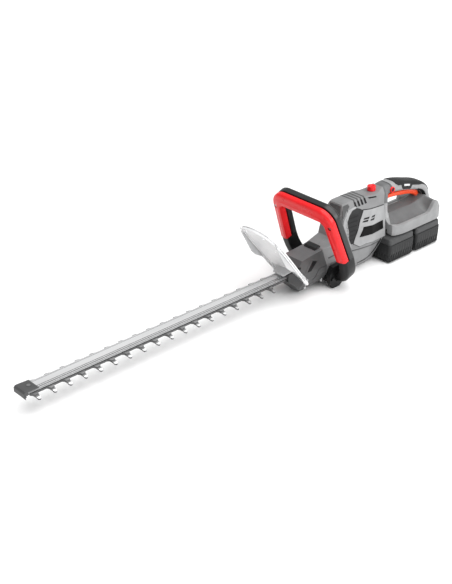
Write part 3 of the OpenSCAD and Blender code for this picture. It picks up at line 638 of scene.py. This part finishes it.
def build_guard():
    side = smooth_line(GUARD_EDGE, 5)
    line = [(-y, v) for y, v in side] + list(reversed(side))[1:]
    inner = [(36.8, 2), (36.4, 20), (31, 33), (0, 34)]
    outline = line + inner + [(-y, v) for y, v in reversed(inner[:-1])]

    def dished(d, y, v):
        return on_guard(d + 2.2 * max(0, 1 - (y / 40) ** 2) * min(1, max(0, (v - 50) / 40)), y, v)

    def over_nose(x, y, lift):
        return (x, y, 17 + (x - 541) * 21 / 44 + lift)

    plate = patch(outline, lambda y, v: dished(-0.6, y, v), lambda y, v: dished(-2.8, y, v), 5.0)
    # apron over the top of the nose, below the plate
    apron = [(542.5, -16.5), (563, -25.5), (563, 20), (542.5, 11)]
    apron = patch(apron, lambda x, y: over_nose(x, y, 2), lambda x, y: over_nose(x, y, 0.4), 5.0)
    piece("guard_apron", *apron, MILKY, "machine", sharp=30)
    piece("guard_plate", *plate, CLEAR, "machine", ["hand_guard"], sharp=30)
    rim = swept_rim(line, [(0, -4.6), (2.4, -4.6), (2.4, 1.6), (0, 1.6)])
    piece("guard_rim", *rim, RIM, "machine", bevel=0.7, sharp=40)
    step = [(y * 0.86, v * 0.955 + 3) for y, v in line if v > 26]
    piece("guard_step", *swept_rim(step, [(0, -4.0), (1.6, -4.0), (1.6, -1.2), (0, -1.2)]), RIM, "machine", bevel=0.5)
    fin = [(489, 117), (493, 104), (519, 57), (529, 47), (546, 37), (570, 15), (575, 14), (541, 53)]
    piece("guard_fins", *both(prism(fin, 45, 46.8)), FIN, "machine", bevel=0.4)
    feet = []
    for i in range(9):
        t = -1 + i / 4
        r = 4.8 * math.sqrt(max(0.02, 1 - t * t)) ** 0.6
        feet.append([on_guard(-1.5 + b * 0.8, 41.8 + a, 6.5 + 9.5 * t) for a, b in arc(0, 0, r, 0, 330, 11)])
    piece("guard_feet", *both(loft(feet)), RIM, "machine", sharp=60)


# ---------- batteries ----------


def rounded_box_ring(cx, half_x, half_y, r, z, n=14):
    """A level ring of a rounded rectangle."""
    ring = []
    for sx, sy, a0 in ((1, 1, 0), (-1, 1, 90), (-1, -1, 180), (1, -1, 270)):
        for px, py in arc(sx * (half_x - r), sy * (half_y - r), r, a0, a0 + 90, n):
            ring.append((cx + px, py, z))
    return ring


def grooved_ring(cx, half_x, half_y, r, z, groove):
    """The same ring with many points, with upright grooves cut into it at an even pitch."""
    pitch = 7.5
    base = rounded_box_ring(0, half_x, half_y, r, z, n=10)
    total, marks = 0, [0]
    for a, b in zip(base, base[1:] + base[:1]):
        total += math.dist(a, b)
        marks.append(total)
    count = 4 * 92
    teeth = round(total / pitch)
    ring, k = [], 0
    for i in range(count):
        s = total * i / count
        while marks[k + 1] < s:
            k += 1
        t = (s - marks[k]) / max(1e-9, marks[k + 1] - marks[k])
        a, b = base[k], base[(k + 1) % len(base)]
        x, y = a[0] + (b[0] - a[0]) * t, a[1] + (b[1] - a[1]) * t
        wave = math.sin(teeth * 2 * math.pi * i / count)
        cut = groove if wave > 0.25 else 0
        length = math.hypot(x, y)
        ring.append((cx + x * (1 - cut / length), y * (1 - cut / length), z))
    return ring


def build_pack(x0, name):
    cx, half = x0 + PACK_W / 2, PACK_W / 2
    # height, inset, corner radius and depth of the grooves
    levels = [(FOOT, 7, 4, 0), (FOOT + 0.8, 4.6, 5, 0), (FOOT + 2.4, 2.4, 6, 0), (FOOT + 4, 1, 6, 0),
              (FOOT + 4.6, 0.8, 6, 1.8), (FOOT + 16, 0.2, 6, 1.8), (FOOT + 20, 0.1, 6, 0.9),
              (FOOT + 21.5, 0.1, 6, 0), (LID_Z - 2.4, 0, 6, 0), (LID_Z - 1.6, 0, 6, 0),
              (LID_Z - 0.8, 0.6, 6, 0), (LID_Z - 0.8, 3, 5, 0)]
    rings = [grooved_ring(cx, half - inset, PACK_HALF - inset, r, z, groove) for z, inset, r, groove in levels]
    piece(name + "_tub", *loft(rings), PACK, name, [name + "_case"], sharp=30)
    rings = []
    for z, inset, r in ((LID_Z - 0.8, 1.6, 5), (LID_Z, 0.9, 6), (LID_Z + 0.8, 1.0, 6), (PACK_TOP - 5.4, 1.6, 6),
                        (PACK_TOP - 3.8, 2.6, 6), (PACK_TOP - 3.0, 4.6, 5), (PACK_TOP - 2.8, 9, 4)):
        rings.append(rounded_box_ring(cx, half - inset, PACK_HALF - inset, r, z))
    # the neck that runs on the rails is waisted
    neck = [prism(rectangle(cx - wide, cx + wide, PACK_TOP + low, PACK_TOP + high), -36, 44)
            for wide, low, high in ((19, -3.5, 1), (15, 0, 5), (19, 4.9, 8))]
    piece(name + "_cover", *joined(loft(rings), *neck), COLLAR, name, [name + "_lid"], bevel=0.3)


# ---------- rear handle ----------


GRIP_POWER = 3.2  # how square the section of the grip is; 2 is an ellipse


def superellipse(station, angle, lift, power):
    """A point of a rounded grip section (outer x, outer z, inner x, inner z, half width); angle 0 is outwards."""
    ox, oz, ix, iz, half = station
    length = math.hypot(ox - ix, oz - iz)
    ux, uz = (ox - ix) / length, (oz - iz) / length
    c, s = math.cos(math.radians(angle)), math.sin(math.radians(angle))
    a = math.copysign(abs(c) ** (2 / power), c) * (length / 2 + lift)
    b = math.copysign(abs(s) ** (2 / power), s) * (half + lift)
    return ((ox + ix) / 2 + ux * a, b, (oz + iz) / 2 + uz * a)


def tube(stations, n=36, power=GRIP_POWER):
    return loft([[superellipse(s, 360 * k / n, 0, power) for k in range(n)] for s in stations])


def skin(stations, reach, over, under, n):
    """A thin skin on a grip; reach gives for each station the angles it spans."""
    rings = []
    for station, (start, end) in zip(stations, reach):
        turns = [start + (end - start) * k / n for k in range(n + 1)]
        ring = [superellipse(station, t, over, GRIP_POWER) for t in turns]
        ring += [superellipse(station, t, under, GRIP_POWER) for t in reversed(turns)]
        rings.append(ring)
    return loft(rings)


GRIP = [
    (822.6, 40, 836.5, 40, 31), (822.6, 50, 837, 50, 26), (822.6, 62, 838, 62, 20), (822.6, 84, 838, 80, 18),
    (822.8, 104, 838.6, 90, 17.5), (824, 116, 841, 96.5, 16.5), (836, 119.2, 848, 97.5, 16.5),
    (852, 119.6, 858, 96, 16.5), (872, 116.6, 874, 93.6, 17), (892, 111.4, 892, 90.4, 17.5),
    (910, 105.8, 907, 86.6, 18), (929, 100.3, 922, 82.5, 18), (945, 94.2, 936, 78, 18), (957.5, 85.5, 946, 72, 18),
    (964.5, 74.5, 951, 64, 19), (965.5, 63, 953, 56, 22), (965.5, 50, 953, 46, 26),
]

BASE_LOW = 21.4  # underside of the base
# plan of the base over the packs: half width along X
BASE_PLAN = [(822.6, 43), (826, 46), (834, 49), (848, 51.5), (860, 52), (952, 52), (960, 50.5), (964, 47), (966, 43)]
# heights along X: rim at the side, saddle edge, flank, crown
RIM_LINE = [(822.6, 44), (836, 42), (926, 42), (932, 46), (938, 55), (944, 62.5), (950, 63.5), (956, 60), (961, 51),
            (966, 42)]
CROWN = [(822.6, 60), (837, 60), (839, 57.5), (905, 56.5), (922, 57.5), (932, 60), (944, 66), (955, 64), (966, 46)]


def flank(x, share):
    """Height of the saddle between its edge (0) and its crown (1)."""
    edge, crown = curve_at(RIM_LINE, x) - 0.6, curve_at(CROWN, x)
    return edge + (crown - edge) * share ** 1.55


def base_profile(x, inset=0.0):
    """Upper outline of the base across the machine, from the left (near) lower edge to the right one."""
    w = curve_at(BASE_PLAN, x) - inset
    rim = curve_at(RIM_LINE, x) - inset
    low = BASE_LOW
    inner = w - 8 + inset
    steps = [k / 8 for k in range(9)]
    near = [(-w, low), (-w, rim - 2), (-w + 0.6, rim - 0.6), (-w + 2, rim)]
    near += [(-inner + (inner - 18) * t, flank(x, t) - inset) for t in steps]
    # the right flank falls away more steeply than the left one
    drop = min(1, max(0, (x - 838) / 4), max(0, (956 - x) / 10))
    far = []
    for t in reversed(steps):
        y = inner - (inner - 9 * drop - 18 * (1 - drop)) * t
        steep = 36 + (curve_at(CROWN, x) - 36) * max(0, 1 - (y - 8) / 32) ** 1.2
        far.append((y, (steep * drop + flank(x, t) * (1 - drop)) - inset))
    edge = rim * (1 - drop) + 35.5 * drop
    # the necks of the packs leave through slots in the right wall
    slot = any(x0 + RAIL_SLOT[0] <= x <= x0 + RAIL_SLOT[1] for x0 in PACK_X)
    far += [(w - 2, edge), (w - 0.6, edge - 0.6), (w, edge - 2), (w, 31.5 if slot else low)]
    return near + far


def build_base():
    stations = [822.6, 824, 827, 831, 835, 837, 839, 842] + [846 + 6 * k for k in range(12)]
    stations += [915, 918, 921, 924, 927, 930, 934, 938, 942, 946, 950, 954, 958, 961, 963.5, 966]
    stations += [x0 + edge for x0 in PACK_X for edge in (16.9, *RAIL_SLOT, 59.1)]
    stations.sort()
    rings = []
    for x in stations:
        upper = [(x, y, z) for y, z in base_profile(x)]
        lower = [(x, y, max(z, BASE_LOW)) for y, z in base_profile(x, 3.0)]
        rings.append(upper + list(reversed(lower)))
    walls = []
    for x0, x1 in ((822.6, 825.6), (962.5, 966)):
        outline = base_profile(min(max(x0, 823), 965.5), 0.4)
        walls.append(loft([[(x, y, z) for y, z in outline] for x in (x0 + 0.2, x1 - 0.2)]))
    piece("rear_base", *joined(loft(rings), *walls), BASE, "rear_handle", sharp=32)
    # the saddle is a dark skin let into the base
    rings = []
    for x in [838.6, 840, 842] + [846 + 6 * k for k in range(12)] + [915, 920, 925, 928, 931, 934, 937, 940, 944, 948]:
        outline = base_profile(x)[4:-4]
        rings.append([(x, y, z + 0.7) for y, z in outline] + [(x, y, z - 1.5) for y, z in reversed(outline)])
    piece("saddle_tray", *loft(rings), SADDLE, "rear_handle", ["saddle"], sharp=32)


def build_saddle_corner():
    """The saddle runs on beside the column, on the left."""
    beside = [(826, -36.5), (831, -29), (838.8, -17.5), (838.8, -41)]

    def height(x, y):
        inner = curve_at(BASE_PLAN, x) - 8
        return flank(x, min(1, max(0, (inner + y) / (inner - 18))))

    made = patch(beside, lambda x, y: (x, y, height(x, y) + 0.8), lambda x, y: (x, y, height(x, y) - 1))
    piece("saddle_corner", *made, SADDLE, "rear_handle", sharp=40)


def build_grip():
    """Column, neck and grip in one sweep, cut out below for the trigger to swing into."""
    stations = smooth_line(GRIP, 4)
    neck = [s for s in stations if s[0] < 844]
    column = [s for s in neck if s[1] < 86]
    piece("rear_column", *tube(column), LIGHT, "rear_handle", sharp=40)
    piece("rear_neck", *tube(neck[len(column) - 1:]), BAND, "rear_handle", sharp=40,
          holes=[prism(rectangle(833, 856, 76, 105), -9.8, 9.8)])
    channel = [(834, 103), (850, 102.6), (864, 101.4), (880, 99), (896, 96), (914, 91.5), (931, 86.5), (946, 79),
               (951.5, 71), (951.5, 60), (934, 54), (915, 70), (880, 75), (834, 78)]
    piece("rear_grip_shell", *tube(stations[len(neck) - 2:]), LIGHT, "rear_handle",
          ["rear_shell_left", "rear_shell_right"], sharp=40, holes=[prism(channel, -9.4, 9.4)])
    # painted shade on the inner face of the rear leg, beside the channel: a black skin
    leg = [s for s in smooth_line(GRIP, 6) if s[0] > 932]
    leg_shade_skin = skin(leg, [(112, 152)] * len(leg), 0.5, -1.5, n=12)
    piece("leg_painted_shade", *both(leg_shade_skin), BLACK, "rear_handle", sharp=40)


def build_soft_grip():
    """Soft skin over the top of the grip, with a deeper tongue round a light grey inlay that is a painted highlight.
    """
    span = [s for s in smooth_line(GRIP, 8) if s[0] > 855 and s[3] > 63]
    reach = []
    for x in (s[0] for s in span):
        angle = 80 - 34 * max(0, (x - 932) / 30) - 30 * max(0, (863 - x) / 8)
        tongue = min(1, max(0, (x - 874) / 5), max(0, (908 - x) / 5))
        reach.append((-angle - 28 * tongue, angle + 28 * tongue))
    piece("soft_grip", *skin(span, reach, 1.2, -0.8, n=40), RUBBER, "rear_handle", ["grip_overmould"], sharp=40)
    # the light grey inlay on the tongue is a painted highlight on the soft grip
    highlight_stations = [s for s in smooth_line(GRIP, 16) if 880 < s[0] < 899]
    piece("badge", *both(skin(highlight_stations, [(-88, -74)] * len(highlight_stations), 2.0, 0.4, n=4)), GRIP_HIGHLIGHT, "rear_handle", ["grip_badge"],
          sharp=40)


def build_trigger():
    """A smooth strip that curls down at its rear end."""
    strip = [(839.8, 92.6, 839.6, 84.2, 7.6), (850, 93, 849.6, 83.8, 8), (864, 92.6, 863, 82.6, 8),
             (880, 91, 878, 80.6, 8), (896, 88.6, 893, 78.2, 8), (914, 85.4, 909, 75, 8), (930, 81, 923, 70.8, 8),
             (940.5, 75, 932.5, 65.8, 7.6), (945.5, 67, 938, 61, 7)]
    piece("trigger_strip", *tube(smooth_line(strip, 5), 28, 4.0), ORANGE, "rear_trigger", ["trigger"], sharp=40)


def build_lock_off():
    """A cross button: a dished red rim with a dark middle on each end."""

    def button(levels):
        return loft([[(846 + a, y, 107 + b) for a, b in arc(0, 0, r, 0, 345, 23)] for y, r in levels])

    near_end = [(-16, 6), (-18.8, 6), (-19.6, 5.6), (-19.4, 4.6), (-18.2, 4.2)]
    far_end = [(-y, r) for y, r in reversed(near_end)]
    piece("lock_off_rim", *button(near_end + far_end), RED, "lock_off", ["lock_off_button"], sharp=40)
    cores = [button([(y, 3.9), (y + 1.6, 3.9)]) for y in (-18.6, 17)]
    piece("lock_off_core", *joined(*cores), BLACK, "lock_off")


def build_base_shadow_line():
    """Painted shadow under the base: a black plate that shows as a dark line between the base and the packs."""
    near = [(x, 1.2 - curve_at(BASE_PLAN, x)) for x in (823.4, 834, 848, 860, 952, 960, 965)]
    under = near + [(x, -y) for x, y in reversed(near)]
    piece("base_painted_shadow_line", *prism(under, 19.7, 21.8, "z"), BLACK, "rear_handle", bevel=0.3,
          holes=[prism(rectangle(x0 + RAIL_SLOT[0], x0 + RAIL_SLOT[1], 0, 40), -46, 60) for x0 in PACK_X])


def build_rails():
    """Rails and contacts under the base; those in front are shorter, inside its slanted front corners."""
    rails, contacts = [], []
    for pack_x, reach in zip(PACK_X, (30, 44)):
        cx = pack_x + PACK_W / 2
        for sx in (-1, 1):
            for a, b, low, high in ((19.6, 21.2, -1, 9), (15.5, 19.7, 1.5, 4.5)):
                x0, x1 = sorted((cx + sx * a, cx + sx * b))
                rails.append(prism(rectangle(x0, x1, PACK_TOP + low, PACK_TOP + high), -reach, reach))
        contacts.append(prism(rectangle(cx - 9, cx + 9, PACK_TOP + 1, PACK_TOP + 12), -42.5, -40))
    piece("rail_strips", *joined(*rails), BLACK, "rear_handle", ["battery_rails"], bevel=0.3)
    piece("contact_blocks", *joined(*contacts), BRASS, "rear_handle", ["terminal_blocks"], bevel=0.3)


# ---------- gear case details ----------


GEARCASE_HALF = 35


def slanted_half(_x, z):
    """Half width of the gear case on the slanted face above its side."""
    return GEARCASE_HALF - max(0, z - 16) * 13 / 24


def upright_half(_x, z):
    """Half width of the gear case on its side, which draws in below."""
    return GEARCASE_HALF + 0.4 * min(0, z - 2)


def build_gearcase_details():
    vent = [(590, 17.5), (599, 17.2), (621, 28.5), (612, 31.5)]
    piece("side_vents", *both(side_patch(vent, 0.8, 1.5, slanted_half)), BLACK, "machine", bevel=0.3)
    frame_line = [(588, 17.4), (608, 32.4), (622, 29), (626, 26), (623, 31), (609, 35.4), (584, 18.2)]
    piece("vent_frames", *both(side_patch(frame_line, 0.8, 1.5, slanted_half)), DARK, "machine", bevel=0.4)
    block = [(629, 40), (632, 46.5), (645, 48), (647, 42)]
    piece("top_block", *prism(block, -13, 16), PACK, "machine", bevel=0.8)
    clips = prism([(570, 17), (577, 19), (577, 30), (571, 30)], 24, 29.5)
    piece("guard_clips", *both(clips), BLACK, "machine", bevel=0.5)
    step = [(606, -6), (621, 14.5), (641.5, 14.5), (641.5, -12), (616, -16)]
    piece("side_steps", *both(side_patch(step, 1.2, 1.0, upright_half)), DARK, "machine", bevel=0.6)


# ---------- everything that stays as the CAD has it ----------

# further colours of a CAD node, painted shade on the bar and blades and painted light on the gear case top, and which
# of its faces get them (from a face's centre and normal)
FURTHER = {
    # the bar's upright faces get darker alloy, painted shade in its grooves
    "guide_bar": [(GROOVE_WALL_SHADE, lambda centre, normal: abs(normal.y) > 0.7),
                  # its outer side faces get near-black, painted shade along the bar's sides
                  (BAR_SIDE_SHADE, lambda centre, normal: abs(centre.y) > 13.9 * MM and abs(normal.y) > 0.7)],
    # upright faces of both blades get dark steel, painted shade on the sides of the teeth
    "upper_blade": [(BLADE_SIDE_SHADE, lambda centre, normal: abs(normal.z) < 0.5)],
    "lower_blade": [(BLADE_SIDE_SHADE, lambda centre, normal: abs(normal.z) < 0.5)],
    # upward faces of the gear case get the lighter band grey, painted light on its top
    "gearcase_upper": [(BAND, lambda centre, normal: normal.z > 0.9)],
}


def cad(node, finish, bevel):
    """A CAD node that stays as it is, with rounded edges, its finishes and the painted shade and light on some of its
    faces.
    """
    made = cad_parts[node]
    made.data.materials.clear()
    made.data.materials.append(finish)
    for index, (further, test) in enumerate(FURTHER.get(node, []), 1):
        made.data.materials.append(further)
        for face in made.data.polygons:
            if test(face.center, face.normal):
                face.material_index = index
    soften(made, bevel, segments=2)


# finish, and edge rounding in millimetres
STAYS = {
    "guide_bar": (ALLOY, 0.25), "tip_cap": (DARK, 0.6), "blade_bushes": (SCREW, 0.2), "blade_washers": (SCREW, 0.2),
    "blade_screws": (SCREW, 0.3), "upper_blade": (STEEL, 0.3), "lower_blade": (STEEL, 0.35),
    "guard_screws": (SCREW, 0.3), "gearcase_upper": (DARK, 1.1), "gearcase_lower": (DARK, 1.1),
    "gearcase_screws": (SCREW, 0.3), "crank_bearings": (SCREW, 0.2), "drive_gear": (GEAR, 0.12),
    "pinion": (GEAR, 0.1), "rotor": (COPPER, 0.3), "fan": (BLACK, 0.3), "motor_can": (IRON, 0.5),
    "motor_bearings": (SCREW, 0.2), "housing_screws": (SCREW, 0.3), "control_board": (BOARD, 0.2),
    "front_switch": (BLACK, 0.4), "handle_brackets": (BLACK, 1.2), "handle_bolts": (BLACK, 0.5),
    "switch_bar_screws": (SCREW, 0.3), "switch_bar_springs": (SCREW, 0.2), "turn_ring": (SCREW, 0.4),
    "turn_hub": (GEAR, 0.4), "rotation_lock": (RED, 0.8), "lock_spring": (SCREW, 0.2),
    "rear_shell_screws": (SCREW, 0.3), "rear_switch": (BLACK, 0.4), "switch_spring": (SCREW, 0.1),
    "trigger_pin": (SCREW, 0.3), "battery_front_cells": (CELL, 0.6), "battery_rear_cells": (CELL, 0.6),
    "battery_front_latch": (BLACK, 0.8), "battery_rear_latch": (BLACK, 0.8),
}


# ---------- camera, floor and light ----------

AZIMUTH = math.radians(-42.47)
ELEVATION = math.radians(28.61)
EYE = (-868.5, -1398.4, 1061.0)
LENS = 73.05
FLOOR_REACH = 60  # metres from the middle
FLOOR_GAP = 0.0005  # metres below the lowest point of the machine


def build_camera():
    data = bpy.data.cameras.new("view")
    data.lens = LENS
    data.clip_end = 50
    camera = bpy.data.objects.new("view", data)
    bpy.context.scene.collection.objects.link(camera)
    right = Vector((math.cos(AZIMUTH), math.sin(AZIMUTH), 0))
    back = Vector((math.sin(AZIMUTH) * math.cos(ELEVATION), -math.cos(AZIMUTH) * math.cos(ELEVATION),
                   math.sin(ELEVATION)))
    up = back.cross(right)
    turn = Matrix((right, up, back)).transposed().to_4x4()
    camera.matrix_world = Matrix.Translation(at(*EYE)) @ turn
    bpy.context.scene.camera = camera


def build_sun(name, source, strength, angle):
    """Soft light from a wide patch of sky in the direction given by source."""
    data = bpy.data.lights.new(name, "SUN")
    data.energy = strength
    data.angle = math.radians(angle)
    lamp = bpy.data.objects.new(name, data)
    bpy.context.scene.collection.objects.link(lamp)
    lamp.rotation_mode = "QUATERNION"
    lamp.rotation_quaternion = (-Vector(source)).to_track_quat("-Z", "Y")


def build_light(name, place, target, size, power):
    """A soft box at a place in metres that faces a target."""
    data = bpy.data.lights.new(name, "AREA")
    data.shape = "RECTANGLE"
    data.size, data.size_y = size
    data.energy = power
    lamp = bpy.data.objects.new(name, data)
    bpy.context.scene.collection.objects.link(lamp)
    lamp.location = place
    lamp.rotation_mode = "QUATERNION"
    lamp.rotation_quaternion = (Vector(target) - Vector(place)).to_track_quat("-Z", "Y")


def build_studio():
    mesh = bpy.data.meshes.new("floor")
    corners = [(x, y, 0) for x, y in rectangle(-FLOOR_REACH, FLOOR_REACH, -FLOOR_REACH, FLOOR_REACH)]
    mesh.from_pydata(corners, [], [(0, 1, 2, 3)])
    floor = bpy.data.objects.new("floor", mesh)
    bpy.context.scene.collection.objects.link(floor)
    floor.location.z = cad_box[0][2] - FLOOR_GAP
    floor.data.materials.append(material("floor_paint", grey(0.92), 0.8, grain=60, depth=0.02, mottle=0.004))
    world = bpy.data.worlds.new("studio")
    world.use_nodes = True
    world.node_tree.nodes["Background"].inputs["Color"].default_value = (1, 1, 1, 1)
    world.node_tree.nodes["Background"].inputs["Strength"].default_value = 0.50
    bpy.context.scene.world = world
    build_sun("sky", (0.10, -0.30, 1.0), 2.9, 70)
    build_light("side", (0.7, -2.0, 0.9), (0.15, 0, 0.05), (1.4, 0.9), 22)
    bpy.context.scene.view_settings.view_transform = "Standard"


build_camera()
build_studio()
for node, (finish, width) in STAYS.items():
    cad(node, finish, width)
build_shells()
build_side_panels()
build_intakes()
build_housing_front()
build_side_lines()
build_top()
build_handle()
build_guard()
build_pack(PACK_X[0], "battery_front")
build_pack(PACK_X[1], "battery_rear")
build_base()
build_saddle_corner()
build_grip()
build_soft_grip()
build_trigger()
build_lock_off()
build_base_shadow_line()
build_rails()
build_gearcase_details()
